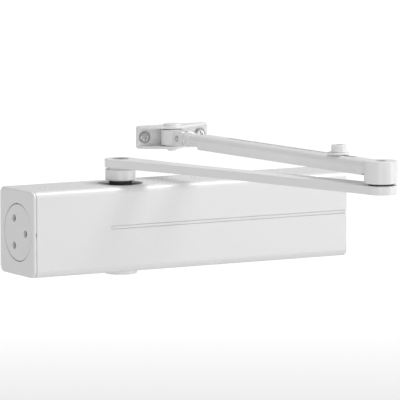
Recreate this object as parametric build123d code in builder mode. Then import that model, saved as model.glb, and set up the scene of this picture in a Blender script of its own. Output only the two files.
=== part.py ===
"""Surface-mounted rack-and-pinion door closer with a folding arm.

Row frame, millimetres: the origin is the centre of the four mounting holes on the back
plane, +X runs along the body, +Y goes into the door, +Z is up.
"""

import os
from math import acos, atan2, cos, degrees, hypot, pi, radians, sin, tan

from build123d import *

# Body
body_left = -127.3
body_length = 253.2
body_depth = 50.0
body_height = 60.0
corner_radius = 5.0
cover_wall = 1.5
lip_height = 26.1
end_cap_thickness = 2.6
fit_gap = 0.05

# Main bore and its plugs, along X
bore_y = -27.0
bore_radius = 17.0
plug_radius = 20.0
plug_shoulder = 110.0
plug_inner = 105.5
valve_circle = 11.0
valve_radius = 2.5

# Spindle and gearing
spindle_x = -46.0
shaft_radius = 8.0
bearing_radius = 14.0
running_gap = 0.03
gear_module = 1.5
gear_teeth = 12
pressure_angle = radians(20)
pinion_addendum = 1.4
rack_addendum = 0.8
tooth_thinning = 0.08
gear_half_width = 9.8

# Piston and springs
piston_left = -98.5
piston_right = -18.5
window_left = -84.0
window_right = -34.5
spring_right = 98.3
seat_thickness = 4.0

# Arms
arm_length = 240.0
arm_angle = -72.8
arm_bottom = 41.1
arm_thickness = 6.0
hub_bottom = 48.4
hub_top = 63.3
sleeve_bottom = 52.9
sleeve_top = 63.2
sleeve_width = 14.0
sleeve_reach = 204.7
slot_start = 27.8
slot_end = 178.0
clamp_reach = 47.4
link_z = 58.2
pivot = (4.7, -11.0)
tilt_reach = 12.5

# Frame bracket
bracket_left = -18.6
bracket_right = 38.5
bracket_height = 16.2
bracket_wall = 2.0
bracket_base = 2.7
bracket_tip = 6.5
screw_spread = 45.0
screw_left = -13.0

# Derived places
left_face = body_left
right_face = body_left + body_length
half_height = body_height / 2
arm_top = arm_bottom + arm_thickness
elbow = (
    spindle_x + arm_length * cos(radians(arm_angle)),
    bore_y + arm_length * sin(radians(arm_angle)),
)
forearm_length = hypot(pivot[0] - elbow[0], pivot[1] - elbow[1])
forearm_angle = degrees(atan2(pivot[1] - elbow[1], pivot[0] - elbow[0]))
forearm_x = (cos(radians(forearm_angle)), sin(radians(forearm_angle)), 0)
forearm_side = (-forearm_x[1], forearm_x[0], 0)
pitch_radius = gear_module * gear_teeth / 2
base_radius = pitch_radius * cos(pressure_angle)
rack_pitch_y = bore_y - pitch_radius
tooth_pitch = pi * gear_module
tooth_width = tooth_pitch / 2 - tooth_thinning

body_middle = Plane((0, -body_depth / 2, 0), x_dir=(0, 1, 0), z_dir=(1, 0, 0))
spindle_plane = Plane((spindle_x, bore_y, 0))


def along_bore(x, y=bore_y, z=0.0):
    """Sketch plane square to the bore, at x."""
    return Plane((x, y, z), x_dir=(0, 1, 0), z_dir=(1, 0, 0))


def at_spindle(z):
    """Level sketch plane on the spindle axis, at height z."""
    return spindle_plane.offset(z)


def on_arm(z):
    """Level plane at the spindle with X along the main arm."""
    direction = (cos(radians(arm_angle)), sin(radians(arm_angle)), 0)
    return Plane((spindle_x, bore_y, z), x_dir=direction, z_dir=(0, 0, 1))


def on_forearm(z, reach=0.0):
    """Level plane at a reach from the elbow with X along the forearm."""
    spot = (elbow[0] + reach * forearm_x[0], elbow[1] + reach * forearm_x[1], z)
    return Plane(spot, x_dir=forearm_x, z_dir=(0, 0, 1))


def across_forearm(reach, z=link_z):
    """Plane square to the forearm at a reach from the elbow, its Y axis up."""
    spot = (elbow[0] + reach * forearm_x[0], elbow[1] + reach * forearm_x[1], z)
    return Plane(spot, x_dir=forearm_side, z_dir=forearm_x)


def save(builder, name):
    """Label a finished piece and write it as its own STEP file."""
    builder.part.label = name
    export_step(builder.part, f"parts/{name}.step")


os.makedirs("parts", exist_ok=True)

# --- Cast housing: a block round the oil-filled bore, with a pad that meets the door.
inner_depth = body_depth - 2 * (cover_wall + fit_gap)
inner_height = body_height - 2 * (cover_wall + fit_gap)
housing_left = left_face + end_cap_thickness + fit_gap
housing_right = right_face - end_cap_thickness - 0.4
hole_spread_x = 172.0
hole_spread_z = 43.2
hole_radius = 2.6
peg_places = [(21.5, 24.0), (21.5, -24.0), (-19.0, 24.0), (-19.0, -24.0)]
with BuildPart() as housing:
    with BuildSketch(body_middle.offset(housing_left)):
        RectangleRounded(inner_depth, inner_height, corner_radius - cover_wall)
        with Locations((body_depth / 2 - 5, 0)):
            Rectangle(10, 2 * lip_height - 0.2)
    extrude(amount=housing_right - housing_left)
    with BuildSketch(along_bore(housing_left)):
        Circle(bore_radius)
    extrude(amount=body_length, mode=Mode.SUBTRACT)
    for start, amount in ((housing_left, -plug_shoulder - housing_left),
                          (plug_shoulder, housing_right - plug_shoulder)):
        with BuildSketch(along_bore(start)):
            Circle(plug_radius)
        extrude(amount=amount, mode=Mode.SUBTRACT)
    with BuildSketch(at_spindle(-half_height)):
        Circle(bearing_radius)
    extrude(amount=body_height, mode=Mode.SUBTRACT)
    for level in (25.4, -half_height):
        with BuildSketch(at_spindle(level)):
            Circle(15.05)
        extrude(amount=half_height - 25.4, mode=Mode.SUBTRACT)
    back = Plane((0, 0, 0), x_dir=(1, 0, 0), z_dir=(0, -1, 0))
    with BuildSketch(back):
        with GridLocations(hole_spread_x, hole_spread_z, 2, 2):
            Circle(hole_radius)
    extrude(amount=body_depth, mode=Mode.SUBTRACT)
    with BuildSketch(back.offset(38.4)):
        with GridLocations(hole_spread_x, hole_spread_z, 2, 2):
            Circle(5.0)
    extrude(amount=body_depth, mode=Mode.SUBTRACT)
    for end, amount in ((housing_left, 4.2), (housing_right, -4.2)):
        with BuildSketch(body_middle.offset(end)):
            with Locations(*peg_places):
                Circle(1.55)
        extrude(amount=amount, mode=Mode.SUBTRACT)
save(housing, "housing")

# --- Clip-on cover: a thin channel whose rear lips curl round the housing.
groove_start = -66.1
groove_height = 2.7
groove_line = 0.6
groove_depth = 0.9
groove_z = 2.0
with BuildPart() as cover:
    with BuildSketch(body_middle.offset(left_face + end_cap_thickness)):
        RectangleRounded(body_depth, body_height, corner_radius)
        RectangleRounded(body_depth - 2 * cover_wall, body_height - 2 * cover_wall,
                         corner_radius - cover_wall, mode=Mode.SUBTRACT)
        with Locations((body_depth / 2, 0)):
            Rectangle(10, 2 * lip_height, mode=Mode.SUBTRACT)
    extrude(amount=body_length - end_cap_thickness)
    with BuildSketch(at_spindle(half_height - 5)):
        Circle(15.75)
    extrude(amount=10, mode=Mode.SUBTRACT)
    with BuildSketch(at_spindle(-half_height - 5)):
        Circle(12.3)
    extrude(amount=10, mode=Mode.SUBTRACT)
    front = Plane((0, -body_depth, 0), x_dir=(1, 0, 0), z_dir=(0, -1, 0))
    with BuildSketch(front.offset(-groove_depth)):
        for height, mode in ((groove_height, Mode.ADD), (groove_height - 2 * groove_line, Mode.SUBTRACT)):
            with Locations((groove_start + groove_height / 2, groove_z)):
                Circle(height / 2, mode=mode)
            with Locations((groove_start + groove_height / 2 + 100, groove_z)):
                Rectangle(200, height, mode=mode)
    extrude(amount=5, mode=Mode.SUBTRACT)
save(cover, "cover")

# --- End caps: a proud one with a pry notch on the left, an inset one on the right.
with BuildPart() as left_end_cap:
    with BuildSketch(body_middle.offset(left_face)):
        RectangleRounded(body_depth, body_height, corner_radius)
    extrude(amount=end_cap_thickness - fit_gap)
    fillet(left_end_cap.faces().sort_by(Axis.X)[0].edges(), 1.4)
    with BuildSketch(along_bore(left_face - 1)):
        Circle(plug_radius + 0.15)
    extrude(amount=10, mode=Mode.SUBTRACT)
    with BuildSketch(body_middle.offset(left_face + end_cap_thickness - 0.6)):
        with Locations((-body_depth / 2, 0)):
            Rectangle(2, 3.2)
    extrude(amount=2, mode=Mode.SUBTRACT)
    with BuildSketch(body_middle.offset(left_face + end_cap_thickness - 1)):
        with Locations(*peg_places):
            Circle(1.5)
    extrude(amount=5)
save(left_end_cap, "left_end_cap")

with BuildPart() as right_end_cap:
    with BuildSketch(body_middle.offset(housing_right + fit_gap)):
        RectangleRounded(inner_depth, inner_height, corner_radius - cover_wall)
        with Locations((bore_y + body_depth / 2, 0)):
            Circle(plug_radius + 0.15, mode=Mode.SUBTRACT)
    extrude(amount=end_cap_thickness)
    with BuildSketch(body_middle.offset(housing_right + 1)):
        with Locations(*peg_places):
            Circle(1.5)
    extrude(amount=-5)
save(right_end_cap, "right_end_cap")

# --- Threaded end plugs. The left one holds the three regulating valves.
ring_seat_x = 107.8
valve_spots = [(-valve_circle * cos(2 * pi * n / 3), valve_circle * sin(2 * pi * n / 3))
               for n in range(3)]
with BuildPart() as left_end_plug:
    with BuildSketch(along_bore(left_face + 0.05)):
        Circle(plug_radius - fit_gap)
    extrude(amount=-plug_shoulder - left_face - 0.1)
    with BuildSketch(along_bore(-plug_shoulder - 0.1)):
        Circle(bore_radius - fit_gap)
    extrude(amount=plug_shoulder - plug_inner)
    chamfer(left_end_plug.faces().sort_by(Axis.X)[0].edges(), 0.4)
    with BuildSketch(along_bore(-ring_seat_x - 0.8)):
        Circle(bore_radius)
        Circle(bore_radius - 1.4, mode=Mode.SUBTRACT)
    extrude(amount=1.6, mode=Mode.SUBTRACT)
    with BuildSketch(along_bore(left_face - 1)):
        with Locations(*valve_spots):
            Circle(valve_radius)
    extrude(amount=11.5, mode=Mode.SUBTRACT)
    with BuildSketch(along_bore(left_face)):
        with Locations(*valve_spots):
            Circle(1.1)
    extrude(amount=30, mode=Mode.SUBTRACT)
save(left_end_plug, "left_end_plug")

screw_radius = 4.0
with BuildPart() as right_end_plug:
    with BuildSketch(along_bore(plug_shoulder + 0.1)):
        Circle(plug_radius - fit_gap)
    extrude(amount=right_face - plug_shoulder - 0.2)
    with BuildSketch(along_bore(plug_inner)):
        Circle(bore_radius - fit_gap)
    extrude(amount=plug_shoulder - plug_inner + 0.1)
    chamfer(right_end_plug.faces().sort_by(Axis.X)[-1].edges(), 0.4)
    with BuildSketch(along_bore(ring_seat_x - 0.8)):
        Circle(bore_radius)
        Circle(bore_radius - 1.4, mode=Mode.SUBTRACT)
    extrude(amount=1.6, mode=Mode.SUBTRACT)
    with BuildSketch(along_bore(plug_inner - 1)):
        Circle(screw_radius + running_gap)
    extrude(amount=30, mode=Mode.SUBTRACT)
save(right_end_plug, "right_end_plug")

with BuildPart() as plug_seals:
    for seal_x in (-ring_seat_x, ring_seat_x):
        with BuildSketch(Plane((seal_x, bore_y, 0), x_dir=(0, 1, 0), z_dir=(0, 0, 1))):
            with Locations((bore_radius - 0.7, 0)):
                Circle(0.68)
        revolve(axis=Axis((0, bore_y, 0), (1, 0, 0)))
save(plug_seals, "plug_seals")

# --- Three identical regulating valves: a slotted screw with a needle point.
valve_names = ["closing_valve", "latching_valve", "backcheck_valve"]
valve_outer = left_face + 2.3
valve_shoulder = left_face + 10.2
for valve_name, (dy, dz) in zip(valve_names, valve_spots):
    with BuildPart() as valve:
        with BuildSketch(along_bore(valve_outer, bore_y + dy, dz)):
            Circle(valve_radius - 0.06)
        extrude(amount=valve_shoulder - valve_outer)
        with BuildSketch(along_bore(valve_shoulder, bore_y + dy, dz)):
            Circle(1.0)
        extrude(amount=6, taper=6)
        with BuildSketch(along_bore(valve_outer, bore_y + dy, dz)):
            Rectangle(0.9, 2 * valve_radius)
        extrude(amount=1.4, mode=Mode.SUBTRACT)
    save(valve, valve_name)

# --- Spindle bearings, seals, nuts and the cap below, on one upright axis.
for bearing_name, side in (("top_bearing", 1), ("bottom_bearing", -1)):
    with BuildPart() as bearing:
        with BuildSketch(at_spindle(side * 17.3)):
            Circle(bearing_radius - fit_gap)
            Circle(shaft_radius + running_gap, mode=Mode.SUBTRACT)
        extrude(amount=side * 5.6)
        chamfer(bearing.edges().filter_by(GeomType.CIRCLE), 0.4)
    save(bearing, bearing_name)

with BuildPart() as shaft_seals:
    for side in (1, -1):
        with BuildSketch(at_spindle(side * 23.0)):
            Circle(bearing_radius - 0.5)
            Circle(shaft_radius + running_gap, mode=Mode.SUBTRACT)
        extrude(amount=side * 2.3)
save(shaft_seals, "shaft_seals")

nut_bore = 9.2
for nut_name, side in (("top_bearing_nut", 1), ("bottom_bearing_nut", -1)):
    with BuildPart() as nut:
        with BuildSketch(at_spindle(side * 25.45)):
            Circle(15.0)
            Circle(nut_bore, mode=Mode.SUBTRACT)
        extrude(amount=side * 2.8)
        with BuildSketch(at_spindle(side * 27.2)):
            with PolarLocations(14.6, 4, 45):
                Rectangle(4, 3)
        extrude(amount=side * 2, mode=Mode.SUBTRACT)
    save(nut, nut_name)

cap_drop = 3.6
with BuildPart() as spindle_cap:
    with BuildSketch(at_spindle(-half_height - cap_drop)):
        Circle(11.8)
    extrude(amount=cap_drop - 0.1)
    fillet(spindle_cap.faces().sort_by(Axis.Z)[0].edges(), 1.2)
    with BuildSketch(at_spindle(-half_height - 0.1)):
        Circle(nut_bore - fit_gap)
        Circle(nut_bore - 1, mode=Mode.SUBTRACT)
    extrude(amount=3.6)
save(spindle_cap, "spindle_cap")

# --- Pinion spindle: involute teeth cut on the shaft, a square top for the arm.
def involute(angle):
    """Involute function of a pressure angle."""
    return tan(angle) - angle


def tooth_half_angle(radius):
    """Half the angle that a pinion tooth fills at a radius."""
    at_pitch = tooth_width / (2 * pitch_radius) + involute(pressure_angle)
    return at_pitch - involute(acos(base_radius / radius))


square_side = 11.2
tip_radius = pitch_radius + pinion_addendum
flank = []
for step in range(5):
    radius = base_radius + (tip_radius - base_radius) * step / 4
    half_angle = tooth_half_angle(radius)
    flank.append((radius * cos(half_angle), radius * sin(half_angle)))
tooth_root = (7.0 * cos(tooth_half_angle(base_radius)), 7.0 * sin(tooth_half_angle(base_radius)))
with BuildSketch() as tooth:
    with BuildLine():
        Spline(*flank)
        ThreePointArc(flank[-1], (tip_radius, 0), (flank[-1][0], -flank[-1][1]))
        Spline(*[(x, -y) for x, y in reversed(flank)])
        Polyline((flank[0][0], -flank[0][1]), (tooth_root[0], -tooth_root[1]), tooth_root, flank[0])
    make_face()
with BuildPart() as pinion_spindle:
    with BuildSketch(at_spindle(-25.0)):
        Circle(shaft_radius)
    extrude(amount=arm_bottom - 0.2 + 25.0)
    chamfer(pinion_spindle.faces().sort_by(Axis.Z)[0].edges(), 0.6)
    with BuildSketch(at_spindle(arm_bottom - 0.2)):
        Rectangle(square_side, square_side, rotation=arm_angle)
    extrude(amount=4.0)
    with BuildSketch(at_spindle(-gear_half_width)):
        with PolarLocations(0, gear_teeth, -90):
            add(tooth.sketch)
    extrude(amount=2 * gear_half_width)
    with BuildSketch(at_spindle(arm_bottom + 5)):
        Circle(3.05)
    extrude(amount=-20, mode=Mode.SUBTRACT)
save(pinion_spindle, "pinion_spindle")

# --- Rack piston: a cylinder with an open window, and a rack on the window's front wall.
rack_root_y = rack_pitch_y - pinion_addendum - 0.25
window_rear_y = bore_y + tip_radius + 0.6
tooth_count = 10
first_tooth_x = spindle_x + 1.5 * tooth_pitch
rack_half_width = 10.0
with BuildPart() as rack_piston:
    with BuildSketch(along_bore(piston_left)):
        Circle(bore_radius - running_gap)
    extrude(amount=piston_right - piston_left)
    chamfer(rack_piston.edges().filter_by(GeomType.CIRCLE), 0.8)
    with BuildSketch(along_bore(piston_right)):
        Circle(6.9)
    extrude(amount=6)
    with BuildSketch(Plane((0, 0, -bore_radius - 1))):
        with Locations(((window_left + window_right) / 2, (rack_root_y + window_rear_y) / 2)):
            RectangleRounded(window_right - window_left, window_rear_y - rack_root_y, 2)
    extrude(amount=2 * bore_radius + 2, mode=Mode.SUBTRACT)
    slope = tan(pressure_angle)
    root_half = tooth_width / 2 + (rack_pitch_y - rack_root_y) * slope
    tip_half = tooth_width / 2 - rack_addendum * slope
    tip_y = rack_pitch_y + rack_addendum
    with BuildSketch(Plane((first_tooth_x, 0, -rack_half_width))):
        with Locations(*[(-n * tooth_pitch, 0) for n in range(tooth_count)]):
            Polygon((-root_half, rack_root_y), (root_half, rack_root_y), (tip_half, tip_y),
                    (-tip_half, tip_y), align=None)
    extrude(amount=2 * rack_half_width)
    with BuildSketch(Plane((first_tooth_x - (tooth_count - 1) * tooth_pitch / 2,
                            rack_root_y - 1, -rack_half_width))):
        Rectangle(tooth_count * tooth_pitch - 1, 2.02)
    extrude(amount=2 * rack_half_width)
    with BuildSketch(along_bore(piston_left)):
        Circle(4.0)
    extrude(amount=9.5, mode=Mode.SUBTRACT)
    with BuildSketch(along_bore(piston_left)):
        Circle(1.5)
    extrude(amount=16, mode=Mode.SUBTRACT)
    with BuildSketch(along_bore(piston_left + 4)):
        Circle(bore_radius + 1)
        Circle(bore_radius - 1.5, mode=Mode.SUBTRACT)
    extrude(amount=2, mode=Mode.SUBTRACT)
save(rack_piston, "rack_piston")

with BuildPart() as piston_seal:
    with BuildSketch(along_bore(piston_left + 4.05)):
        Circle(bore_radius - running_gap)
        Circle(bore_radius - 1.45, mode=Mode.SUBTRACT)
    extrude(amount=1.9)
save(piston_seal, "piston_seal")

with BuildPart() as check_valve_seat:
    with BuildSketch(along_bore(piston_left + 0.2)):
        Circle(3.97)
        Circle(1.2, mode=Mode.SUBTRACT)
    extrude(amount=3.5)
save(check_valve_seat, "check_valve_seat")

with BuildPart() as check_ball:
    with Locations((piston_left + 5.9, bore_y, 0)):
        Sphere(1.9)
save(check_ball, "check_ball")

# --- Closing springs, one inside the other, between the piston and the seat.
spring_left = piston_right + 0.2
for spring_name, mean_radius, wire_radius, turns, left_handed in (
    ("outer_spring", 14.3, 2.0, 12, False),
    ("inner_spring", 9.3, 1.3, 19, True),
):
    span = spring_right - spring_left - 2 * wire_radius
    with BuildPart() as spring:
        with BuildLine():
            helix = Helix(pitch=span / turns, height=span, radius=mean_radius,
                          center=(spring_left + wire_radius, bore_y, 0),
                          direction=(1, 0, 0), lefthand=left_handed)
        with BuildSketch(Plane(helix @ 0, z_dir=helix % 0)):
            Circle(wire_radius)
        sweep(is_frenet=True)
    save(spring, spring_name)

with BuildPart() as spring_seat:
    with BuildSketch(along_bore(spring_right + 0.2)):
        Circle(bore_radius - 0.3)
        Circle(screw_radius + running_gap, mode=Mode.SUBTRACT)
    extrude(amount=seat_thickness)
    chamfer(spring_seat.edges().filter_by(GeomType.CIRCLE).sort_by(SortBy.RADIUS)[-2:], 0.5)
save(spring_seat, "spring_seat")

with BuildPart() as tension_screw:
    with BuildSketch(along_bore(84)):
        Circle(screw_radius)
    extrude(amount=right_face - 2 - 84)
    chamfer(tension_screw.edges().filter_by(GeomType.CIRCLE), 0.5)
    with BuildSketch(along_bore(spring_right + 0.2 + seat_thickness + 0.4)):
        Circle(6.5)
    extrude(amount=2.2)
    with BuildSketch(along_bore(right_face - 2)):
        RegularPolygon(2.3, 6)
    extrude(amount=-5, mode=Mode.SUBTRACT)
save(tension_screw, "tension_screw")

# --- Collar, main arm, its screw and the elbow pin, all turning with the spindle.
with BuildPart() as spindle_collar:
    with BuildSketch(at_spindle(32.2)):
        Circle(10.7)
        Circle(shaft_radius + fit_gap, mode=Mode.SUBTRACT)
    extrude(amount=7.75)
    chamfer(spindle_collar.edges().filter_by(GeomType.CIRCLE).sort_by(SortBy.RADIUS)[-2:], 0.5)
    with BuildSketch(at_spindle(39.95)):
        Circle(8.8)
        Circle(shaft_radius + fit_gap, mode=Mode.SUBTRACT)
    extrude(amount=arm_bottom - 39.95 - fit_gap)
save(spindle_collar, "spindle_collar")

arm_hub = 11.1
with BuildPart() as main_arm:
    with BuildSketch(on_arm(arm_bottom)):
        with Locations((0, 0), (arm_length, 0)):
            Circle(arm_hub)
        with BuildLine():
            edge = Spline((3, 10.4), (50, 7.6), (96, 7.0), (165, 8.2), (arm_length - 3, 10.4))
            mirror(edge, about=Plane.XZ)
            Line(edge @ 0, (3, -10.4))
            Line(edge @ 1, (arm_length - 3, -10.4))
        make_face()
    extrude(amount=arm_thickness)
    fillet(main_arm.faces().sort_by(Axis.Z)[-1].edges(), 0.8)
    fillet(main_arm.faces().sort_by(Axis.Z)[0].edges(), 0.5)
    with BuildSketch(on_arm(arm_bottom)):
        Rectangle(square_side + 0.1, square_side + 0.1)
        with Locations((arm_length, 0)):
            Circle(4.5)
    extrude(amount=arm_thickness, mode=Mode.SUBTRACT)
    with BuildSketch(on_arm(arm_bottom)):
        with Locations((arm_length, 0)):
            Circle(6.1)
    extrude(amount=2.0, mode=Mode.SUBTRACT)
save(main_arm, "main_arm")

with BuildPart() as arm_screw:
    with BuildSketch(at_spindle(45.0)):
        Circle(5.4)
    extrude(amount=1.8)
    with BuildSketch(at_spindle(45.0)):
        Circle(3.0)
    extrude(amount=-17)
    with BuildSketch(at_spindle(46.8)):
        RegularPolygon(2.3, 6)
    extrude(amount=-3, mode=Mode.SUBTRACT)
save(arm_screw, "arm_screw")

with BuildPart() as elbow_pin:
    with BuildSketch(on_forearm(arm_bottom + 0.1)):
        Circle(6.0)
    extrude(amount=1.8)
    with BuildSketch(on_forearm(arm_bottom + 0.1)):
        Circle(4.45)
    extrude(amount=60.6 - arm_bottom)
    with BuildSketch(on_forearm(60)):
        Circle(3.6)
    extrude(amount=2.2)
save(elbow_pin, "elbow_pin")

# --- Forearm sleeve: an arched hollow section, slotted on top, with the elbow hub.
cavity_width = 10.2
cavity_bottom = 54.7
cavity_top = 61.7
with BuildPart() as forearm_sleeve:
    with BuildSketch(across_forearm(0, 0)):
        with BuildLine():
            half = sleeve_width / 2
            arch = 4.8
            Line((half, sleeve_bottom), (half, sleeve_top - arch))
            RadiusArc((half, sleeve_top - arch), (half - arch, sleeve_top), -arch)
            Line((half - arch, sleeve_top), (arch - half, sleeve_top))
            RadiusArc((arch - half, sleeve_top), (-half, sleeve_top - arch), -arch)
            Polyline((-half, sleeve_top - arch), (-half, sleeve_bottom), (half, sleeve_bottom))
        make_face()
    extrude(amount=sleeve_reach)
    with BuildSketch(on_forearm(hub_bottom)):
        Circle(11.3)
    extrude(amount=hub_top - hub_bottom)
    fillet(forearm_sleeve.faces().sort_by(Axis.Z)[-1].edges(), 0.6)
    with BuildSketch(across_forearm(16, (cavity_bottom + cavity_top) / 2)):
        RectangleRounded(cavity_width, cavity_top - cavity_bottom, 1)
    extrude(amount=sleeve_reach, mode=Mode.SUBTRACT)
    with BuildSketch(on_forearm(cavity_top - 0.5)):
        with Locations(((slot_start + slot_end) / 2, 0)):
            SlotOverall(slot_end - slot_start, 5.0)
    extrude(amount=5, mode=Mode.SUBTRACT)
    with BuildSketch(on_forearm(sleeve_bottom)):
        with Locations((10.5, 0)):
            Rectangle(3.2, 2 * sleeve_width)
    extrude(amount=1.3, mode=Mode.SUBTRACT)
    with BuildSketch(on_forearm(hub_bottom)):
        Circle(6.05)
    extrude(amount=61.3 - hub_bottom, mode=Mode.SUBTRACT)
    with BuildSketch(on_forearm(60)):
        Circle(3.75)
    extrude(amount=10, mode=Mode.SUBTRACT)
save(forearm_sleeve, "forearm_sleeve")

with BuildPart() as elbow_bush:
    with BuildSketch(on_forearm(hub_bottom + 0.05)):
        Circle(6.0)
        Circle(4.45 + running_gap, mode=Mode.SUBTRACT)
    extrude(amount=12.6)
save(elbow_bush, "elbow_bush")

with BuildPart() as elbow_washer:
    with BuildSketch(on_forearm(arm_top + 0.1)):
        Circle(8.5)
        Circle(4.45 + fit_gap, mode=Mode.SUBTRACT)
    extrude(amount=hub_bottom - arm_top - 0.2)
save(elbow_washer, "elbow_washer")

# --- Sliding rod: a flat bar in the sleeve, then a turned neck and a flat eye.
tilt_at = forearm_length - tilt_reach
tilt_radius = 2.2
eye_half = 1.7
neck_end = tilt_at - 7.6
side_plane = Plane((elbow[0] + tilt_at * forearm_x[0], elbow[1] + tilt_at * forearm_x[1], link_z),
                   x_dir=forearm_x, z_dir=forearm_side)
with BuildPart() as forearm_rod:
    with BuildSketch(across_forearm(36)):
        RectangleRounded(cavity_width - 0.2, cavity_top - cavity_bottom - 0.2, 0.9)
    extrude(amount=sleeve_reach - 36)
    for start, end, radius in ((sleeve_reach, neck_end - 7.3, 4.6), (neck_end - 7.3, neck_end - 6.3, 4.2),
                               (neck_end - 6.3, neck_end - 4.5, 5.2), (neck_end - 4.5, neck_end - 2.5, 3.8),
                               (neck_end - 2.5, neck_end, 5.4)):
        with BuildSketch(across_forearm(start)):
            Circle(radius)
        extrude(amount=end - start)
    with BuildSketch(side_plane.offset(-eye_half)):
        Circle(4.8)
        with Locations((-4.5, 0)):
            Rectangle(9, 7)
    extrude(amount=2 * eye_half)
    with BuildSketch(side_plane.offset(-10)):
        Circle(tilt_radius + running_gap)
    extrude(amount=20, mode=Mode.SUBTRACT)
    with BuildSketch(on_forearm(70, clamp_reach)):
        Circle(2.05)
    extrude(amount=-30, mode=Mode.SUBTRACT)
save(forearm_rod, "forearm_rod")

with BuildPart() as clamp_washer:
    with BuildSketch(on_forearm(sleeve_top + 0.25, clamp_reach)):
        Circle(7.7)
        Circle(2.2, mode=Mode.SUBTRACT)
    extrude(amount=1.5)
    fillet(clamp_washer.faces().sort_by(Axis.Z)[-1].outer_wire().edges(), 0.6)
save(clamp_washer, "clamp_washer")

with BuildPart() as clamp_bolt:
    with BuildSketch(on_forearm(sleeve_top + 1.85, clamp_reach)):
        Circle(5.1)
    extrude(amount=4.9)
    chamfer(clamp_bolt.edges().filter_by(GeomType.CIRCLE).sort_by(Axis.Z)[-1], 0.6)
    with BuildSketch(on_forearm(sleeve_top + 1.85, clamp_reach)):
        Circle(2.0)
    extrude(amount=-10)
    with BuildSketch(on_forearm(sleeve_top + 6.75, clamp_reach)):
        RegularPolygon(3.0, 6)
    extrude(amount=-3, mode=Mode.SUBTRACT)
save(clamp_bolt, "clamp_bolt")

# --- Knuckle: two cheeks round the rod's eye, and a barrel on the bracket's pin.
barrel_radius = 7.9
barrel_height = 11.0
pin_radius = 4.0
cheek_width = 2.6
cheek_end = 6.3
cheek_gap = 0.2
pivot_plane = Plane((pivot[0], pivot[1], link_z), x_dir=forearm_x, z_dir=(0, 0, 1))
cheek_outer = eye_half + cheek_gap + cheek_width
with BuildPart() as knuckle:
    with BuildSketch(pivot_plane.offset(-barrel_height / 2)):
        Circle(barrel_radius)
    extrude(amount=barrel_height)
    with BuildSketch(side_plane.offset(-cheek_outer)):
        with Locations(((tilt_reach - cheek_end) / 2, 0)):
            RectangleRounded(tilt_reach + cheek_end, barrel_height, 1.2)
    extrude(amount=2 * cheek_outer)
    with BuildSketch(side_plane.offset(-eye_half - cheek_gap)):
        with Locations((-1.2, 0)):
            Rectangle(13.6, barrel_height + 2)
    extrude(amount=2 * (eye_half + cheek_gap), mode=Mode.SUBTRACT)
    with BuildSketch(pivot_plane.offset(-barrel_height)):
        Circle(pin_radius + running_gap)
    extrude(amount=2 * barrel_height, mode=Mode.SUBTRACT)
    with BuildSketch(side_plane.offset(-20)):
        Circle(tilt_radius)
    extrude(amount=40, mode=Mode.SUBTRACT)
save(knuckle, "knuckle")

with BuildPart() as tilt_pin:
    with BuildSketch(side_plane.offset(-cheek_outer - 0.8)):
        Circle(tilt_radius)
    extrude(amount=2 * cheek_outer + 1.6)
    fillet(tilt_pin.edges().filter_by(GeomType.CIRCLE), 0.7)
save(tilt_pin, "tilt_pin")

# --- Frame bracket: a base plate whose top and bottom ears reach out to the pin.
bracket_low = link_z - bracket_height / 2
bracket_middle = (bracket_left + bracket_right) / 2
bracket_length = bracket_right - bracket_left


def ear_tangent(end_x):
    """Where the straight edge from an end of the rim meets the rounded tip."""
    from_tip = (end_x - pivot[0], -bracket_base - pivot[1])
    distance = hypot(*from_tip)
    turn = acos(bracket_tip / distance)
    facing = atan2(from_tip[1], from_tip[0])
    side = 1 if end_x > pivot[0] else -1
    angle = facing - side * turn
    return (pivot[0] + bracket_tip * cos(angle), pivot[1] + bracket_tip * sin(angle))


with BuildPart() as bracket:
    with BuildSketch(Plane.XY.offset(bracket_low)):
        with BuildLine():
            Polyline(ear_tangent(bracket_left), (bracket_left, -bracket_base), (bracket_left, 0),
                     (bracket_right, 0), (bracket_right, -bracket_base), ear_tangent(bracket_right))
            ThreePointArc(ear_tangent(bracket_right), (pivot[0], pivot[1] - bracket_tip),
                          ear_tangent(bracket_left))
        make_face()
    extrude(amount=bracket_height)
    fillet(bracket.edges().filter_by(Axis.Y), 2.0)
    base = Plane((bracket_middle, -bracket_base, link_z), x_dir=(1, 0, 0), z_dir=(0, -1, 0))
    with BuildSketch(base):
        Rectangle(bracket_length + 2, bracket_height - 2 * bracket_wall)
    extrude(amount=30, mode=Mode.SUBTRACT)
    with BuildSketch(Plane((pivot[0], pivot[1], bracket_low - 1))):
        Circle(pin_radius + 0.02)
    extrude(amount=bracket_height + 2, mode=Mode.SUBTRACT)
    for depth, radius in ((bracket_base, 2.55), (bracket_base - bracket_wall, 4.6)):
        with BuildSketch(base.offset(-depth)):
            with Locations((screw_left - bracket_middle, 0), (screw_left + screw_spread - bracket_middle, 0)):
                Circle(radius)
        extrude(amount=depth, mode=Mode.SUBTRACT)
save(bracket, "bracket")

with BuildPart() as bracket_pin:
    with BuildSketch(Plane((pivot[0], pivot[1], bracket_low - 1.5))):
        Circle(3.35)
    extrude(amount=2)
    with BuildSketch(Plane((pivot[0], pivot[1], bracket_low))):
        Circle(pin_radius)
    extrude(amount=bracket_height + 0.5)
    with BuildSketch(Plane((pivot[0], pivot[1], bracket_low + bracket_height))):
        Circle(6.0)
    extrude(amount=1.5)
    fillet(bracket_pin.faces().sort_by(Axis.Z)[-1].edges(), 0.5)
save(bracket_pin, "bracket_pin")

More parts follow.
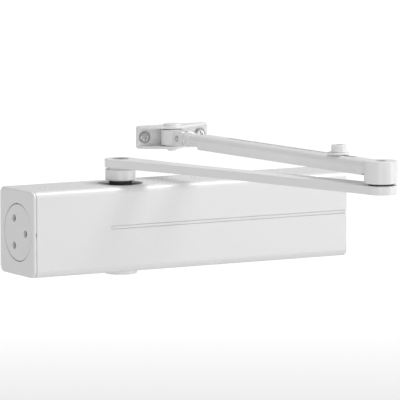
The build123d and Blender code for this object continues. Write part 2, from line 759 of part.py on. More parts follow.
with BuildPart() as bracket_screws:
    for screw_x in (screw_left, screw_left + screw_spread):
        head = Plane((screw_x, -bracket_wall, link_z), x_dir=(1, 0, 0), z_dir=(0, -1, 0))
        with BuildSketch(head.offset(0.05)):
            Circle(3.9)
        extrude(amount=2.0)
        with BuildSketch(head.offset(0.1)):
            Circle(2.5)
        extrude(amount=-2.0)
        with BuildSketch(head.offset(2.05)):
            Rectangle(4.2, 1.0)
            Rectangle(1.0, 4.2)
        extrude(amount=-1.2, mode=Mode.SUBTRACT)
    fillet(bracket_screws.edges().filter_by(GeomType.CIRCLE).sort_by(Axis.Y)[:2], 0.6)
save(bracket_screws, "bracket_screws")
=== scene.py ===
from math import cos, pi, radians, sin, sqrt

import bmesh
import bpy
import numpy as np
from mathutils import Matrix, Vector


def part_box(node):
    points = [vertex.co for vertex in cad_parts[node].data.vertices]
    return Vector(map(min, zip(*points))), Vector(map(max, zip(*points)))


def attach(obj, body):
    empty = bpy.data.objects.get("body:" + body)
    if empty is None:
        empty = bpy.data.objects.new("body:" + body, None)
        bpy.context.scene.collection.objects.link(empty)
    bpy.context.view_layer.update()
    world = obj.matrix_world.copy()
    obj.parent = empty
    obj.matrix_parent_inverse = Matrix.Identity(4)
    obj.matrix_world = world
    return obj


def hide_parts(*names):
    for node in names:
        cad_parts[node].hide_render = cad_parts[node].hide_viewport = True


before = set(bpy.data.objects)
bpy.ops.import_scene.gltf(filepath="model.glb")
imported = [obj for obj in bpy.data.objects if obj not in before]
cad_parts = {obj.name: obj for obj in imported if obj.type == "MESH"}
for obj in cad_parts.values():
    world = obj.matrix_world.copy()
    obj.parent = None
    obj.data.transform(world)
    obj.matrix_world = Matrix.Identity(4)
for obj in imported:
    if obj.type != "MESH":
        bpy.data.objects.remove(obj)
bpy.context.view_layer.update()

# ---------------------------------------------------------------------------
# Front cover: an aluminium channel that clips over the cast body. Its long edges are
# bent round a 5 mm radius, it is powder coated white, and the outline of a long narrow
# strip is milled into the front.
MM = 0.001


def linear(code):
    """RGBA in linear light from an sRGB hex value."""
    levels = [int(code[n:n + 2], 16) / 255 for n in (1, 3, 5)]
    return [v / 12.92 if v <= 0.04045 else ((v + 0.055) / 1.055) ** 2.4 for v in levels] + [1]


def add_node(tree, kind, links=(), inputs=None, **settings):
    """Add a node, set it up, and link (output socket, input name) pairs into it."""
    made = tree.nodes.new(kind)
    for key, value in settings.items():
        setattr(made, key, value)
    for key, value in (inputs or {}).items():
        made.inputs[key].default_value = value
    for source, target in links:
        tree.links.new(source, made.inputs[target])
    return made


def new_material(name):
    """A fresh node material: itself, its node tree, its shader and its object coordinates."""
    material = bpy.data.materials.new(name)
    material.use_nodes = True
    tree = material.node_tree
    place = add_node(tree, "ShaderNodeTexCoord").outputs["Object"]
    return material, tree, tree.nodes["Principled BSDF"], place


def powder_coat(name, colour, shade, roughness, peel_mm=0.55, peel=0.06):
    """Polyester powder coat: satin, a little orange peel, and a faint drift in tone where the
    powder lies thicker. The peel is a bump with cells of peel_mm."""
    material, tree, shader, place = new_material(name)
    drift = add_node(tree, "ShaderNodeTexNoise", [(place, "Vector")], {"Scale": 22.0, "Detail": 2.0})
    tone = add_node(tree, "ShaderNodeMix", [(drift.outputs["Fac"], "Factor")], data_type="RGBA")
    tone.inputs["A"].default_value = linear(shade)
    tone.inputs["B"].default_value = linear(colour)
    tree.links.new(tone.outputs["Result"], shader.inputs["Base Color"])
    grain = add_node(tree, "ShaderNodeTexNoise", [(place, "Vector")],
                     {"Scale": 1 / (peel_mm * MM), "Detail": 1.0})
    bump = add_node(tree, "ShaderNodeBump", [(grain.outputs["Fac"], "Height")],
                    {"Strength": peel, "Distance": 0.05 * MM})
    tree.links.new(bump.outputs["Normal"], shader.inputs["Normal"])
    patch = add_node(tree, "ShaderNodeMapRange", [(grain.outputs["Fac"], "Value")],
                     {"To Min": roughness - 0.02, "To Max": roughness + 0.03})
    tree.links.new(patch.outputs["Result"], shader.inputs["Roughness"])
    shader.inputs["IOR"].default_value = 1.5
    return material


def block(low, high):
    """A bmesh box between two corners."""
    made = bmesh.new()
    bmesh.ops.create_cube(made, size=1)
    bmesh.ops.scale(made, verts=made.verts, vec=Vector(high) - Vector(low))
    bmesh.ops.translate(made, verts=made.verts, vec=(Vector(low) + Vector(high)) / 2)
    return made


def drum(radius, low, high, steps=96, place=Matrix.Identity(4)):
    """A bmesh cylinder round Z from low to high, then moved by place."""
    made = bmesh.new()
    bmesh.ops.create_cone(made, cap_ends=True, segments=steps, radius1=radius, radius2=radius,
                          depth=high - low, matrix=place @ Matrix.Translation((0, 0, (low + high) / 2)))
    return made


def round_edges(made, edges, radius, steps):
    """Round these edges of a bmesh to a radius."""
    bmesh.ops.bevel(made, geom=list(edges), offset=radius, offset_type="OFFSET", segments=steps,
                    profile=0.5, affect="EDGES", clamp_overlap=True, material=-1)


def sharp_edges(made, angle=50):
    """The edges of a bmesh where two faces meet at more than an angle in degrees."""
    return [e for e in made.edges if len(e.link_faces) == 2 and e.calc_face_angle() > radians(angle)]


def long_edges(made, axis):
    """The edges of a bmesh that run along an axis (0, 1 or 2)."""
    return [e for e in made.edges
            if abs((e.verts[0].co - e.verts[1].co).normalized()[axis]) > 0.999]


def as_object(made, name):
    """Turn a bmesh into an object in the scene."""
    mesh = bpy.data.meshes.new(name)
    made.to_mesh(mesh)
    made.free()
    piece = bpy.data.objects.new(name, mesh)
    bpy.context.scene.collection.objects.link(piece)
    return piece


def combine(made, tool, operation="DIFFERENCE"):
    """Cut a tool out of a bmesh, or join it on, and return the result as a new bmesh."""
    target, cutter = as_object(made, "target"), as_object(tool, "cutter")
    step = target.modifiers.new("step", "BOOLEAN")
    step.operation, step.object, step.solver = operation, cutter, "EXACT"
    result = bmesh.new()
    result.from_object(target, bpy.context.evaluated_depsgraph_get())
    for used in (target, cutter):
        mesh = used.data
        bpy.data.objects.remove(used)
        bpy.data.meshes.remove(mesh)
    bmesh.ops.remove_doubles(result, verts=result.verts, dist=0.001 * MM)
    return result


def finish_piece(made, name, node, body, material, smooth_angle=32):
    """Make the object, shade it, and hang it on its body in place of its CAD node."""
    piece = as_object(made, name)
    for face in piece.data.polygons:
        face.use_smooth = True
    piece.data.set_sharp_from_angle(angle=radians(smooth_angle))
    shading = piece.modifiers.new("shading", "WEIGHTED_NORMAL")
    shading.keep_sharp = True
    piece.data.materials.append(material)
    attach(piece, body)
    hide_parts(node)
    return piece


def middle(node):
    """Centre of a CAD node's box."""
    low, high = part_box(node)
    return (low + high) / 2


cover_paint = powder_coat("powder_coated_aluminium", "#EAEAEA", "#E9E9E9", 0.27)
cap_low, cap_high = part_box("left_end_cap")
cover_low, cover_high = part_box("cover")
spindle_at = middle("pinion_spindle")
spindle_at.z = 0
wall = 1.5 * MM
lip = 26.1 * MM
made = block((cover_low.x + 0.3 * MM, cap_low.y, cover_low.z), (cover_high.x, cap_high.y, cover_high.z))
round_edges(made, long_edges(made, 0), 5 * MM, 12)
for level in (lip, -lip):
    bmesh.ops.bisect_plane(made, geom=made.verts[:] + made.edges[:] + made.faces[:],
                           plane_co=(0, 0, level), plane_no=(0, 0, 1))
open_faces = [f for f in made.faces if abs(f.normal.x) > 0.9
              or (f.calc_center_median().y > -2 * MM and abs(f.calc_center_median().z) < lip)]
bmesh.ops.delete(made, geom=open_faces, context="FACES")
bmesh.ops.solidify(made, geom=made.faces[:], thickness=wall)
made = combine(made, drum(15.75 * MM, 20 * MM, 40 * MM, 128, Matrix.Translation(spindle_at)))
made = combine(made, drum(12.3 * MM, -40 * MM, -20 * MM, 96, Matrix.Translation(spindle_at)))
rings = []
for inset in (0, 0.6):
    ring_low = ((-66.1 + inset) * MM, cap_low.y - 2 * MM, (0.65 + inset) * MM)
    ring = block(ring_low, (cover_high.x + 5 * MM, cap_low.y + 0.9 * MM, (3.35 - inset) * MM))
    round_edges(ring, [e for e in long_edges(ring, 1) if e.verts[0].co.x < 0], (1.34 - inset) * MM, 8)
    rings.append(ring)
made = combine(made, combine(*rings))
round_edges(made, sharp_edges(made), 0.15 * MM, 2)
finish_piece(made, "cover_shell", "cover", "closer_body", cover_paint)

# ---------------------------------------------------------------------------
# Left end cap: a moulded plate pushed on over the end of the body, painted with it, with
# an open seam next to the cover. It has a round opening for the valve plug and a small
# pry notch in the seam.
peg_spots = [(-3.5, 24.0), (-3.5, -24.0), (-44.0, 24.0), (-44.0, -24.0)]
bore = Vector((0, -27 * MM, 0))
along_x = Matrix.Rotation(pi / 2, 4, "Y")


def on_bore(y=bore.y, z=0.0):
    """Turn a shape made round Z so that it lies along X at a place across the bore."""
    return Matrix.Translation((0, y, z)) @ along_x


plate_right = cap_low.x + 2.5 * MM
made = block(cap_low, (plate_right, cap_high.y, cap_high.z))
round_edges(made, long_edges(made, 0), 5 * MM, 12)
rim = [e for e in made.edges if all(v.co.x < cap_low.x + 0.01 * MM for v in e.verts)]
round_edges(made, rim, 1.4 * MM, 6)
made = combine(made, drum(20.3 * MM, cap_low.x - 5 * MM, cap_low.x + 10 * MM, 128, on_bore()))
notch = block((plate_right - 0.5 * MM, cap_low.y - 1 * MM, -1.6 * MM),
              (plate_right + 1 * MM, cap_low.y + 1.0 * MM, 1.6 * MM))
made = combine(made, notch)
round_edges(made, sharp_edges(made), 0.25 * MM, 2)
for y, z in peg_spots:
    peg = drum(1.5 * MM, plate_right - 0.5 * MM, cap_high.x, 24, on_bore(y * MM, z * MM))
    made = combine(made, peg, "UNION")
cap_paint = powder_coat("painted_abs_moulding", "#EDEDED", "#ECECEC", 0.38, 0.7, 0.05)
finish_piece(made, "end_cap", "left_end_cap", "closer_body", cap_paint)

# ---------------------------------------------------------------------------
# Right end cap: a flat moulded plate set just inside the end of the cover, painted like
# the left one, with the same round opening for its plug.
right_low, right_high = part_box("right_end_cap")
plate_left = right_high.x - 2.6 * MM
made = block((plate_left, right_low.y, right_low.z), right_high)
round_edges(made, long_edges(made, 0), 3.5 * MM, 10)
made = combine(made, drum(20.15 * MM, 0, 1, 128, on_bore()))
round_edges(made, sharp_edges(made), 0.2 * MM, 2)
for y, z in peg_spots:
    peg = drum(1.5 * MM, right_low.x, plate_left + 0.5 * MM, 24, on_bore(y * MM, z * MM))
    made = combine(made, peg, "UNION")
finish_piece(made, "far_end_cap", "right_end_cap", "closer_body", cap_paint)

# ---------------------------------------------------------------------------
# End plugs: turned steel, screwed into the bore against an O-ring, their faces painted
# with the body. The left one is drilled for the three regulating valves.


def turned(profile, steps=96, place=Matrix.Identity(4)):
    """A closed bmesh from (radius, height) points spun round Z, then moved by place."""
    made = bmesh.new()
    dots = [made.verts.new((radius, 0, height)) for radius, height in profile]
    lines = [made.edges.new(pair) for pair in zip(dots, dots[1:])]
    bmesh.ops.spin(made, geom=dots + lines, cent=(0, 0, 0), axis=(0, 0, 1), angle=2 * pi,
                   steps=steps, use_merge=True)
    bmesh.ops.remove_doubles(made, verts=made.verts, dist=0.001 * MM)
    bmesh.ops.recalc_face_normals(made, faces=made.faces)
    bmesh.ops.transform(made, verts=made.verts, matrix=place)
    return made


def in_mm(points):
    """The same points in metres."""
    return [(a * MM, b * MM) for a, b in points]


plug_paint = powder_coat("painted_turned_steel", "#EBEBEB", "#EAEAEA", 0.36, 0.5, 0.04)
plug_low, plug_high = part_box("left_end_plug")
face_x, back_x = plug_low.x / MM, plug_high.x / MM
seal_x, step_x = -107.8, -110.1
profile = in_mm([(0, face_x), (19.4, face_x), (19.75, face_x + 0.3), (19.75, step_x), (16.95, step_x),
                 (16.95, seal_x - 0.8), (15.6, seal_x - 0.8), (15.6, seal_x + 0.8),
                 (16.95, seal_x + 0.8), (16.95, back_x), (0, back_x)])
made = turned(profile, 128, on_bore())
valve_circle = 11 * MM
for angle in (2 * pi * n / 3 for n in range(3)):
    spot = on_bore(bore.y - valve_circle * cos(angle), valve_circle * sin(angle))
    mouth = turned(in_mm([(0, face_x - 1), (3.0, face_x - 1), (2.5, face_x + 0.25),
                          (2.5, face_x + 10.5), (1.1, face_x + 10.5), (1.1, back_x + 1), (0, back_x + 1)]),
                   40, spot)
    made = combine(made, mouth)
finish_piece(made, "valve_plug", "left_end_plug", "closer_body", plug_paint)

plug_low, plug_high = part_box("right_end_plug")
face_x, back_x = plug_high.x / MM, plug_low.x / MM
profile = in_mm([(4.03, back_x), (16.95, back_x), (16.95, -seal_x - 0.8), (15.6, -seal_x - 0.8),
                 (15.6, -seal_x + 0.8), (16.95, -seal_x + 0.8), (16.95, -step_x), (19.95, -step_x),
                 (19.95, face_x - 0.4), (19.55, face_x), (4.5, face_x), (4.03, face_x - 0.5),
                 (4.03, back_x)])
finish_piece(turned(profile, 128, on_bore()), "spring_plug", "right_end_plug", "closer_body",
             plug_paint)

# ---------------------------------------------------------------------------
# Round cap under the body, over the spare lower end of the spindle: pushed into the
# bearing nut, with a rounded rim.


def round_corner(centre_r, centre_h, radius, start, end, steps=5):
    """Points of a quarter-like round on a turned profile, angles in degrees."""
    turns = [radians(start + (end - start) * n / steps) for n in range(steps + 1)]
    return [(centre_r + radius * cos(t), centre_h + radius * sin(t)) for t in turns]


lower_low, lower_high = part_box("spindle_cap")
bottom, seat, top = lower_low.z / MM, -30.1, lower_high.z / MM
profile = in_mm([(0, bottom)] + round_corner(10.6, bottom + 1.2, 1.2, -90, 0)
                + [(11.8, seat - 0.2), (11.6, seat), (9.15, seat), (9.15, top), (8.2, top), (8.2, seat),
                   (0, seat)])
finish_piece(turned(profile, 96, Matrix.Translation(spindle_at)), "lower_cap", "spindle_cap",
             "closer_body", plug_paint)

# ---------------------------------------------------------------------------
# Collar round the spindle, under the main arm: turned steel with its upper edge rounded,
# in the same paint as the arm.
arm_paint = powder_coat("powder_coated_steel", "#EEEEEE", "#EDEDED", 0.3, 0.6, 0.05)
collar_low, collar_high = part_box("spindle_collar")
bottom, top = collar_low.z / MM, collar_high.z / MM
profile = in_mm([(8.05, bottom), (10.2, bottom), (10.7, bottom + 0.5)]
                + round_corner(10.0, 39.25, 0.7, 0, 90)
                + [(8.8, 39.95), (8.8, top), (8.05, top), (8.05, bottom)])
finish_piece(turned(profile, 96, Matrix.Translation(spindle_at)), "collar", "spindle_collar",
             "spindle_body", arm_paint)

# ---------------------------------------------------------------------------
# Main arm: cut from 6 mm steel plate, wider at both ends than at its waist, its edges
# broken and the whole powder coated.
elbow_at = middle("elbow_pin")
elbow_at.z = 0
arm_low, arm_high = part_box("main_arm")
arm_length = (elbow_at - spindle_at).length
arm_frame = (elbow_at - spindle_at).to_track_quat("X", "Z").to_matrix().to_4x4()
arm_frame.translation = spindle_at
hub = 11.1 * MM
waist = np.polyfit([0.003, 0.05, 0.096, 0.165, 0.237], [0.0104, 0.0076, 0.007, 0.0082, 0.0104], 4)


def arm_half_width(x):
    """Half the arm's width at a distance from the spindle."""
    rounds = [hub ** 2 - (x - end) ** 2 for end in (0, arm_length)]
    widths = [sqrt(r) for r in rounds if r > 0]
    if 3 * MM < x < arm_length - 3 * MM:
        widths.append(float(np.polyval(waist, x)))
    return max(widths, default=0)


def raise_face(made, face, height):
    """Extrude the one flat face of a bmesh upwards into a closed plate."""
    risen = bmesh.ops.extrude_face_region(made, geom=[face])["geom"]
    bmesh.ops.translate(made, verts=[g for g in risen if isinstance(g, bmesh.types.BMVert)],
                        vec=(0, 0, height))
    bmesh.ops.recalc_face_normals(made, faces=made.faces)


end_turn = [(1 - cos(pi / 2 * n / 14)) * hub for n in range(15)]
stations = [-hub + t for t in end_turn]
stations += [hub * 0.3 + (arm_length - hub * 0.6) * n / 60 for n in range(61)]
stations += [arm_length + hub - t for t in reversed(end_turn)]
made = bmesh.new()
upper = [made.verts.new((x, arm_half_width(x), arm_low.z)) for x in stations]
lower = [made.verts.new((x, -arm_half_width(x), arm_low.z)) for x in reversed(stations[1:-1])]
raise_face(made, made.faces.new(upper + lower), arm_high.z - arm_low.z)
round_edges(made, sharp_edges(made), 0.7 * MM, 3)
bmesh.ops.transform(made, verts=made.verts, matrix=arm_frame)
square = block((-5.65 * MM, -5.65 * MM, arm_low.z - MM), (5.65 * MM, 5.65 * MM, 45.0 * MM))
bmesh.ops.transform(square, verts=square.verts, matrix=arm_frame)
made = combine(made, square)
made = combine(made, drum(6.0 * MM, 44.9 * MM, 50 * MM, 64, Matrix.Translation(spindle_at)))
made = combine(made, drum(4.52 * MM, 30 * MM, 60 * MM, 64, Matrix.Translation(elbow_at)))
made = combine(made, drum(6.1 * MM, 30 * MM, arm_low.z + 2 * MM, 64, Matrix.Translation(elbow_at)))
finish_piece(made, "main_lever", "main_arm", "spindle_body", arm_paint)

# ---------------------------------------------------------------------------
# Screw that holds the arm on the spindle, and the pin through the arm's other end, its
# head sunk in the arm from below: zinc-plated steel, both turned.


def zinc_steel(name, colour, roughness):
    """Bright zinc on turned steel: a metal with fine scratches and a slightly uneven sheen."""
    material, tree, shader, place = new_material(name)
    cloud = add_node(tree, "ShaderNodeTexNoise", [(place, "Vector")], {"Scale": 260.0, "Detail": 3.0})
    tone = add_node(tree, "ShaderNodeMix", [(cloud.outputs["Fac"], "Factor")], data_type="RGBA")
    tone.inputs["A"].default_value = linear(colour)
    tone.inputs["B"].default_value = [v * 0.86 for v in linear(colour)[:3]] + [1]
    tree.links.new(tone.outputs["Result"], shader.inputs["Base Color"])
    sheen = add_node(tree, "ShaderNodeMapRange", [(cloud.outputs["Fac"], "Value")],
                     {"To Min": roughness - 0.05, "To Max": roughness + 0.08})
    tree.links.new(sheen.outputs["Result"], shader.inputs["Roughness"])
    scratches = add_node(tree, "ShaderNodeTexNoise", [(place, "Vector")],
                         {"Scale": 1 / (0.25 * MM), "Detail": 2.0})
    bump = add_node(tree, "ShaderNodeBump", [(scratches.outputs["Fac"], "Height")],
                    {"Strength": 0.08, "Distance": 0.02 * MM})
    tree.links.new(bump.outputs["Normal"], shader.inputs["Normal"])
    shader.inputs["Metallic"].default_value = 1.0
    return material


zinc = zinc_steel("zinc_plated_steel", "#C9CACC", 0.3)


def key_socket(across, low, high, place):
    """A six-sided cutter for a key socket, from its size across flats."""
    return drum(across / sqrt(3), low, high, 6, place)


screw_low, screw_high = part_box("arm_screw")
at_spindle = Matrix.Translation(spindle_at)
socket_depth = 3
head_low, head_top, shank_low = 45.0, screw_high.z / MM, screw_low.z / MM
profile = in_mm([(0, shank_low), (2.6, shank_low), (3.0, shank_low + 0.4), (3.0, head_low), (5.4, head_low),
                 (5.4, head_top - 0.3), (5.1, head_top), (0, head_top)])
socket = key_socket(4 * MM, (head_top - socket_depth) * MM, 60 * MM, at_spindle)
made = combine(turned(profile, 64, at_spindle), socket)
finish_piece(made, "spindle_screw", "arm_screw", "spindle_body", zinc)

pin_low, pin_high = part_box("elbow_pin")
at_elbow = Matrix.Translation(elbow_at)
bottom, top = pin_low.z / MM, pin_high.z / MM
shoulder = 60.7
profile = in_mm([(0, bottom), (5.7, bottom), (6.0, bottom + 0.3), (6.0, bottom + 1.8), (4.45, bottom + 1.8),
                 (4.45, shoulder), (3.6, shoulder),
                 (3.6, top - 0.4), (3.2, top), (0, top)])
finish_piece(turned(profile, 64, at_elbow), "elbow_pivot", "elbow_pin", "spindle_body", zinc)

# ---------------------------------------------------------------------------
# Forearm sleeve: a steel section with an arched top, welded into the elbow hub, hollow
# for the sliding rod, slotted along its crest and cut away a little under the hub's side.
pivot_at = middle("bracket_pin")
pivot_at.z = 0
forearm_length = (pivot_at - elbow_at).length
forearm_frame = (pivot_at - elbow_at).to_track_quat("X", "Z").to_matrix().to_4x4()
forearm_frame.translation = elbow_at


def on_forearm(made):
    """Move a bmesh built with X along the forearm from the elbow to its place."""
    bmesh.ops.transform(made, verts=made.verts, matrix=forearm_frame)
    return made


sleeve_low, sleeve_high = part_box("forearm_sleeve")
sleeve_reach = 204.7 * MM
half_width = 7 * MM
sleeve_bottom, sleeve_top = 52.9 * MM, 63.2 * MM
made = block((0, -half_width, sleeve_bottom), (sleeve_reach, half_width, sleeve_top))
crest = [e for e in long_edges(made, 0) if e.verts[0].co.z > 60 * MM]
round_edges(made, crest, 4.8 * MM, 10)
base = [e for e in long_edges(made, 0) if e.verts[0].co.z < sleeve_bottom + 0.1 * MM]
round_edges(made, base, 0.5 * MM, 2)
bottom, top = sleeve_low.z / MM, sleeve_high.z / MM
hub_profile = in_mm([(0, bottom), (10.9, bottom), (11.3, bottom + 0.4)]
                    + round_corner(10.7, top - 0.6, 0.6, 0, 90) + [(0, top)])
made = combine(made, turned(hub_profile, 96), "UNION")
hollow = block((16 * MM, -5.1 * MM, 54.7 * MM), (sleeve_reach + 5 * MM, 5.1 * MM, 61.7 * MM))
round_edges(hollow, long_edges(hollow, 0), 1 * MM, 4)
made = combine(made, hollow)
slot_cut = block((27.8 * MM, -2.5 * MM, 61 * MM), (178 * MM, 2.5 * MM, 66 * MM))
round_edges(slot_cut, long_edges(slot_cut, 2), 2.49 * MM, 10)
made = combine(made, slot_cut)
relief = block((8.9 * MM, -20 * MM, sleeve_bottom - 0.2 * MM),
               (12.1 * MM, 20 * MM, sleeve_bottom + 1.3 * MM))
made = combine(made, relief)
pin_bore = in_mm([(0, 40), (6.05, 40), (6.05, 61.3), (3.75, 61.3), (3.75, 70), (0, 70)])
made = combine(made, turned(pin_bore, 64))
on_forearm(made)
finish_piece(made, "forearm_tube", "forearm_sleeve", "forearm_body", arm_paint)

# ---------------------------------------------------------------------------
# Sliding rod: a flat steel bar inside the sleeve, turned down to a ribbed neck and a
# flat eye for the level pin, coated like the arms.
tilt_at = middle("tilt_pin")
link_z = tilt_at.z
tilt_reach = (Vector((tilt_at.x, tilt_at.y, 0)) - elbow_at).length
bar = block((36 * MM, -5 * MM, 54.8 * MM), (sleeve_reach + 0.5 * MM, 5 * MM, 61.6 * MM))
round_edges(bar, long_edges(bar, 0), 0.9 * MM, 3)
reach = sleeve_reach / MM
shoulder = tilt_reach / MM - 7.6
neck = in_mm([(0, reach), (4.6, reach), (4.6, shoulder - 7.3), (4.2, shoulder - 7.2), (4.2, shoulder - 6.3),
              (4.9, shoulder - 6.3), (5.2, shoulder - 6.0), (5.2, shoulder - 4.8), (4.9, shoulder - 4.5),
              (3.8, shoulder - 4.5), (3.8, shoulder - 2.5), (5.1, shoulder - 2.5), (5.4, shoulder - 2.2),
              (5.4, shoulder - 0.4), (5.0, shoulder), (0, shoulder)])
along = Matrix.Translation((0, 0, link_z)) @ along_x
made = combine(bar, turned(neck, 64, along), "UNION")
across = Matrix.Translation((tilt_reach, 0, link_z)) @ Matrix.Rotation(pi / 2, 4, "X")
eye = drum(4.8 * MM, -1.7 * MM, 1.7 * MM, 64, across)
tang = block((tilt_reach - 9 * MM, -1.7 * MM, link_z - 3.5 * MM), (tilt_reach, 1.7 * MM, link_z + 3.5 * MM))
made = combine(made, combine(eye, tang, "UNION"), "UNION")
made = combine(made, drum(2.23 * MM, -9 * MM, 9 * MM, 48, across))
clamp_at = middle("clamp_washer")
clamp_reach = (Vector((clamp_at.x, clamp_at.y, 0)) - elbow_at).length
at_clamp = Matrix.Translation((clamp_reach, 0, 0))
made = combine(made, drum(2.05 * MM, 40 * MM, 80 * MM, 32, at_clamp))
on_forearm(made)
finish_piece(made, "sliding_rod", "forearm_rod", "rod_body", arm_paint)

# ---------------------------------------------------------------------------
# Clamp bolt and its washer, painted with the arm: the bolt has a round head with a key
# socket, and locks the rod in the sleeve through the slot.
washer_low, washer_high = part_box("clamp_washer")
bottom, top = washer_low.z / MM, washer_high.z / MM
profile = in_mm([(2.2, bottom), (7.7, bottom)] + round_corner(7.1, top - 0.6, 0.6, 0, 90)
                + [(2.2, top), (2.2, bottom)])
washer = turned(profile, 96, at_clamp)
on_forearm(washer)
finish_piece(washer, "slot_washer", "clamp_washer", "rod_body", arm_paint)

bolt_low, bolt_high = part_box("clamp_bolt")
bottom, top, shank = 65.05, bolt_high.z / MM, bolt_low.z / MM
profile = in_mm([(0, shank), (1.7, shank), (2.0, shank + 0.3), (2.0, bottom), (4.9, bottom),
                 (5.1, bottom + 0.2)] + round_corner(4.5, top - 0.6, 0.6, 0, 90) + [(0, top)])
socket = key_socket(5.2 * MM, (top - socket_depth) * MM, 90 * MM, at_clamp)
bolt = combine(turned(profile, 72, at_clamp), socket)
on_forearm(bolt)
finish_piece(bolt, "clamp_head", "clamp_bolt", "clamp_bolt_body", arm_paint)

# ---------------------------------------------------------------------------
# Knuckle: a cast block slotted for the rod's eye, with a barrel behind it on the upright
# bracket pin. A level pin with domed ends holds the eye.
barrel_half = 5.5 * MM
at_pivot = Matrix.Translation((forearm_length, 0, link_z))
barrel = ([(0, -5.5)] + round_corner(7.5, -5.1, 0.4, -90, 0, 3)
          + round_corner(7.5, 5.1, 0.4, 0, 90, 3) + [(0, 5.5)])
made = turned(in_mm(barrel), 96, at_pivot)
cheek_half = 4.5 * MM
cheeks = block((tilt_reach - 6.3 * MM, -cheek_half, link_z - barrel_half),
               (forearm_length, cheek_half, link_z + barrel_half))
round_edges(cheeks, [e for e in long_edges(cheeks, 1) if e.verts[0].co.x < tilt_reach], 1.2 * MM, 4)
round_edges(cheeks, sharp_edges(cheeks, 60), 0.4 * MM, 3)
made = combine(made, cheeks, "UNION")
gap = block((tilt_reach - 8 * MM, -1.9 * MM, link_z - 7 * MM),
            (tilt_reach + 5.6 * MM, 1.9 * MM, link_z + 7 * MM))
made = combine(made, gap)
made = combine(made, drum(4.03 * MM, -9 * MM, 9 * MM, 64, at_pivot))
made = combine(made, drum(2.2 * MM, -9 * MM, 9 * MM, 48, across))
on_forearm(made)
finish_piece(made, "swivel_knuckle", "knuckle", "knuckle_body", arm_paint)

dome = round_corner(1.3, 4.4, 0.9, 0, 90)
profile = in_mm([(0, -5.3)] + [(r, -h) for r, h in reversed(dome)] + dome + [(0, 5.3)])
pin = turned(profile, 48, across)
on_forearm(pin)
finish_piece(pin, "level_pin", "tilt_pin", "knuckle_body", zinc)

# ---------------------------------------------------------------------------
# Frame bracket: a steel base plate screwed to the door frame, its top and bottom ears
# drawn out to a rounded tip that holds the upright pin.
bracket_low, bracket_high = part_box("bracket")
rim_y, tip_radius = -2.7 * MM, 6.5 * MM
outline = [(bracket_low.x, rim_y), (bracket_low.x, 0), (bracket_high.x, 0), (bracket_high.x, rim_y)]


def tangent_angle(end_x):
    """Direction from the pin in which the ear's straight edge meets its round tip."""
    away = Vector((end_x - pivot_at.x, rim_y - pivot_at.y))
    turn = np.arccos(tip_radius / away.length)
    side = 1 if end_x > pivot_at.x else -1
    return np.arctan2(away.y, away.x) - side * turn


first, last = tangent_angle(bracket_high.x), tangent_angle(bracket_low.x) - 2 * pi
if last < -2 * pi:
    last += 2 * pi
made = bmesh.new()
tip = [(pivot_at.x + tip_radius * cos(first + (last - first) * n / 28),
        pivot_at.y + tip_radius * sin(first + (last - first) * n / 28)) for n in range(29)]
ear = made.faces.new([made.verts.new((x, y, bracket_low.z)) for x, y in outline + tip])
raise_face(made, ear, bracket_high.z - bracket_low.z)
corners = [e for e in long_edges(made, 1) if e.calc_face_angle(0) > 1]
round_edges(made, corners, 2 * MM, 6)
plate = 2.0 * MM
pocket = block((bracket_low.x - plate, -40 * MM, bracket_low.z + plate),
               (bracket_high.x + plate, rim_y, bracket_high.z - plate))
made = combine(made, pocket)
round_edges(made, sharp_edges(made), 0.35 * MM, 2)
upright = Matrix.Translation(pivot_at)
made = combine(made, drum(4.0 * MM, 40 * MM, 80 * MM, 64, upright))
screws = [-13.0 * MM, 32.0 * MM]
facing = Matrix.Rotation(pi / 2, 4, "X")
for x in screws:
    for radius, depth in ((2.55, -1), (4.6, 2.0)):
        hole = drum(radius * MM, depth * MM, 6 * MM, 48, Matrix.Translation((x, 0, link_z)) @ facing)
        made = combine(made, hole)
finish_piece(made, "frame_bracket", "bracket", "bracket_body", arm_paint)

pin_low, pin_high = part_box("bracket_pin")
bottom, top = pin_low.z / MM, pin_high.z / MM
ear_bottom, ear_top = bracket_low.z / MM, bracket_high.z / MM
profile = in_mm([(0, bottom), (3.05, bottom), (3.35, bottom + 0.3), (3.35, ear_bottom), (4.0, ear_bottom),
                 (4.0, ear_top), (6.0, ear_top)] + round_corner(5.4, top - 0.6, 0.6, 0, 90) + [(0, top)])
finish_piece(turned(profile, 72, upright), "upright_pin", "bracket_pin", "bracket_body",
             arm_paint)

made = None
for x in screws:
    place = Matrix.Translation((x, -plate, link_z)) @ facing
    profile = in_mm([(0, -1.9), (2.5, -1.9), (2.5, 0.05), (3.9, 0.05), (3.9, 1.0)]
                    + round_corner(2.7, 0.85, 1.2, 15, 90) + [(0, 2.05)])
    screw = turned(profile, 48, place)
    for turn in (0, pi / 2):
        blade = block((-2.1 * MM, -0.5 * MM, 0.9 * MM), (2.1 * MM, 0.5 * MM, 4 * MM))
        bmesh.ops.transform(blade, verts=blade.verts, matrix=place @ Matrix.Rotation(turn, 4, "Z"))
        screw = combine(screw, blade)
    if made is None:
        made = screw
    else:
        made = combine(made, screw, "UNION")
finish_piece(made, "cross_screws", "bracket_screws", "bracket_body", zinc)
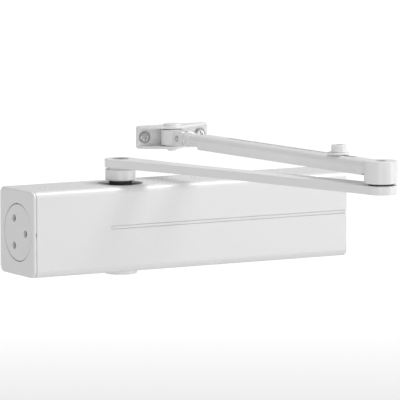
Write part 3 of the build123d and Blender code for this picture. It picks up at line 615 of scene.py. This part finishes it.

# ---------------------------------------------------------------------------
# Working parts inside and behind, such as the spindle, piston, springs and seals: each keeps its machined
# shape and gets its real finish; the spindle and elbow washer are also darkened as painted shade in the gaps
# where they show.


def plain_metal(name, colour, shade, roughness, grain_mm, depth, metallic=1.0):
    """A surface with a mottled tone and a grain of grain_mm, as cast, ground, drawn or moulded."""
    material, tree, shader, place = new_material(name)
    grain = add_node(tree, "ShaderNodeTexNoise", [(place, "Vector")],
                     {"Scale": 1 / (grain_mm * MM), "Detail": 4.0, "Roughness": 0.6})
    tone = add_node(tree, "ShaderNodeMix", [(grain.outputs["Fac"], "Factor")], data_type="RGBA")
    tone.inputs["A"].default_value = linear(shade)
    tone.inputs["B"].default_value = linear(colour)
    tree.links.new(tone.outputs["Result"], shader.inputs["Base Color"])
    wear = add_node(tree, "ShaderNodeMapRange", [(grain.outputs["Fac"], "Value")],
                    {"To Min": roughness - 0.08, "To Max": roughness + 0.08})
    tree.links.new(wear.outputs["Result"], shader.inputs["Roughness"])
    bump = add_node(tree, "ShaderNodeBump", [(grain.outputs["Fac"], "Height")],
                    {"Strength": 0.4, "Distance": depth * MM})
    tree.links.new(bump.outputs["Normal"], shader.inputs["Normal"])
    shader.inputs["Metallic"].default_value = metallic
    return material


finishes = {
    plain_metal("die_cast_aluminium", "#B9BABC", "#A4A5A7", 0.5, 0.8, 0.05): ["housing"],
    plain_metal("ground_steel", "#BFC0C2", "#A9AAAD", 0.28, 0.4, 0.01):
        ["rack_piston", "top_bearing", "bottom_bearing", "check_ball"],
    # Spindle and elbow washer: phosphated steel, its dark colour partly painted shade that turns the narrow
    # gaps under the collar and at the elbow black.
    plain_metal("phosphated_steel_and_gap_shade", "#4A4B4D", "#3C3D3F", 0.55, 0.5, 0.02, 0.6):
        ["pinion_spindle", "elbow_washer"],
    plain_metal("black_oxide_steel", "#3A3B3D", "#2B2C2E", 0.45, 0.5, 0.02, 0.6):
        ["top_bearing_nut", "bottom_bearing_nut", "tension_screw", "spring_seat", "closing_valve",
         "latching_valve", "backcheck_valve"],
    plain_metal("oiled_spring_steel", "#5A5B5D", "#454648", 0.3, 0.6, 0.02): ["outer_spring", "inner_spring"],
    plain_metal("turned_brass", "#C2A15A", "#AE8D49", 0.32, 0.4, 0.01): ["check_valve_seat"],
    plain_metal("sintered_bronze", "#8C6A3E", "#745531", 0.5, 0.3, 0.03): ["elbow_bush"],
    plain_metal("nitrile_rubber", "#1B1B1C", "#141415", 0.6, 0.7, 0.02, 0.0):
        ["plug_seals", "shaft_seals", "piston_seal"],
}
for material, nodes in finishes.items():
    for node in nodes:
        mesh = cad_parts[node].data
        mesh.materials.clear()
        mesh.materials.append(material)

# ---------------------------------------------------------------------------
# Pale floor well below, soft studio light, and the camera in front and to the left. The
# floor glows more with distance, so that it melts into the white surroundings.
floor = as_object(block((-30, -30, -0.62), (30, 30, -0.6)), "floor")
floor_paint, floor_tree, floor_shader, floor_place = new_material("matt_white_floor")
floor_shader.inputs["Base Color"].default_value = linear("#DDDDDD")
floor_shader.inputs["Roughness"].default_value = 0.9
floor_shader.inputs["Emission Color"].default_value = linear("#FFFFFF")
away = add_node(floor_tree, "ShaderNodeVectorMath", [(floor_place, 0)], operation="LENGTH")
glow = add_node(floor_tree, "ShaderNodeMapRange", [(away.outputs["Value"], "Value")],
                {"From Min": 1.5, "From Max": 4.0, "To Max": 0.72})
floor_tree.links.new(glow.outputs["Result"], floor_shader.inputs["Emission Strength"])
floor.data.materials.append(floor_paint)


def soft_light(name, place, target, size, power):
    """A square area light at a place, turned towards a target."""
    lamp = bpy.data.lights.new(name, "AREA")
    lamp.shape, lamp.size, lamp.energy = "SQUARE", size, power
    made = bpy.data.objects.new(name, lamp)
    made.location = place
    made.rotation_euler = (Vector(target) - Vector(place)).to_track_quat("-Z", "Y").to_euler()
    bpy.context.scene.collection.objects.link(made)


centre = (0.0, -0.1, 0.02)
soft_light("top_light", (1.25, -0.45, 2.1), centre, 1.0, 36)
soft_light("front_light", (-1.25, -2.1, -0.03), centre, 0.8, 6)
soft_light("side_light", (1.9, -1.9, 0.0), centre, 0.8, 10)

world = bpy.data.worlds.new("studio")
world.use_nodes = True
world.node_tree.nodes["Background"].inputs["Color"].default_value = linear("#FFFFFF")
world.node_tree.nodes["Background"].inputs["Strength"].default_value = 0.48
bpy.context.scene.world = world
bpy.context.scene.view_settings.view_transform = "Standard"

yaw, pitch, reach = radians(30.0), radians(6.69), 3.366
aim = Vector((0.005, -0.05, 0.0172))
forward = Vector((sin(yaw) * cos(pitch), cos(yaw) * cos(pitch), -sin(pitch)))
camera_data = bpy.data.cameras.new("camera")
camera_data.lens, camera_data.sensor_width = 432.0, 36.0
camera = bpy.data.objects.new("camera", camera_data)
camera.location = aim - forward * reach
camera.rotation_euler = forward.to_track_quat("-Z", "Y").to_euler()
bpy.context.scene.collection.objects.link(camera)
bpy.context.scene.camera = camera
